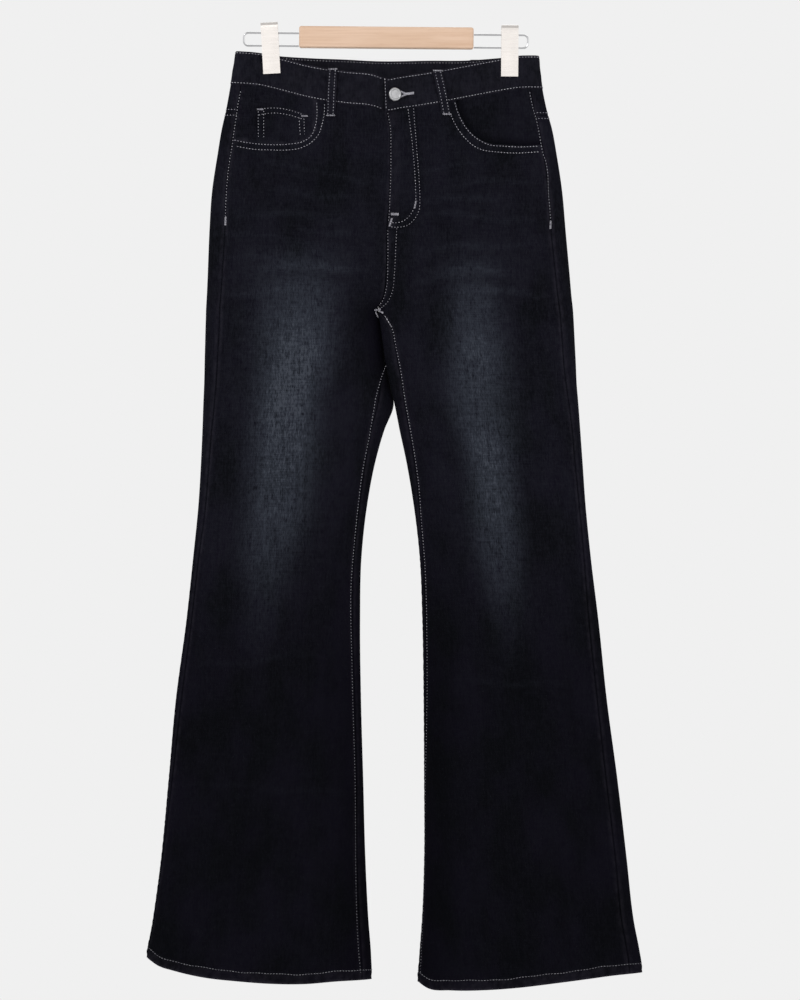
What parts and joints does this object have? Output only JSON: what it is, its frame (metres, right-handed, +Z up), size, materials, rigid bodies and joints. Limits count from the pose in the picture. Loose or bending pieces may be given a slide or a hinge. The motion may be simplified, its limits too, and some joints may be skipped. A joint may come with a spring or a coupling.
{
  "type": "bootcut jeans on a clip hanger",
  "caption": "Dark high-rise bootcut jeans with scoop pockets, a fly front closed by a shank button, and belt loops, clamped by the waistband in a wooden trouser hanger.",
  "frame": {"origin": "middle of the hanger bar's top, where the hanger is held", "axes": "+Z up, +X to the viewer's right (the wearer's left), the front faces -Y"},
  "size_m": [0.5589, 0.0589, 1.0933],
  "materials": {
    "denim": "dark indigo stretch twill, worn paler on the thighs, pale topstitching",
    "button_metal": "satin silver",
    "bar_wood": "pale smooth hardwood, satin",
    "wire_steel": "bright bent wire",
    "clip_metal": "pale champagne satin metal"
  },
  "bodies": {
    "root": {"front_right_upper": "denim", "front_right_lower": "denim", "front_left_upper": "denim", "front_left_lower": "denim", "back_right_upper": "denim", "back_right_lower": "denim", "back_left_upper": "denim", "back_left_lower": "denim", "yoke_right": "denim", "yoke_left": "denim", "waistband": "denim", "belt_loop_front_right": "denim", "belt_loop_front_left": "denim", "belt_loop_back_right": "denim", "belt_loop_back_centre": "denim", "belt_loop_back_left": "denim", "fly": "denim", "pocket_facing_right": "denim", "pocket_facing_left": "denim", "coin_pocket": "denim", "back_pocket_right": "denim", "back_pocket_left": "denim", "button": "button_metal", "hanger_bar": "bar_wood", "hanger_wire_right": "wire_steel", "hanger_wire_left": "wire_steel", "hanger_clip_right": "clip_metal", "hanger_clip_left": "clip_metal"}
  },
  "joints": []
}
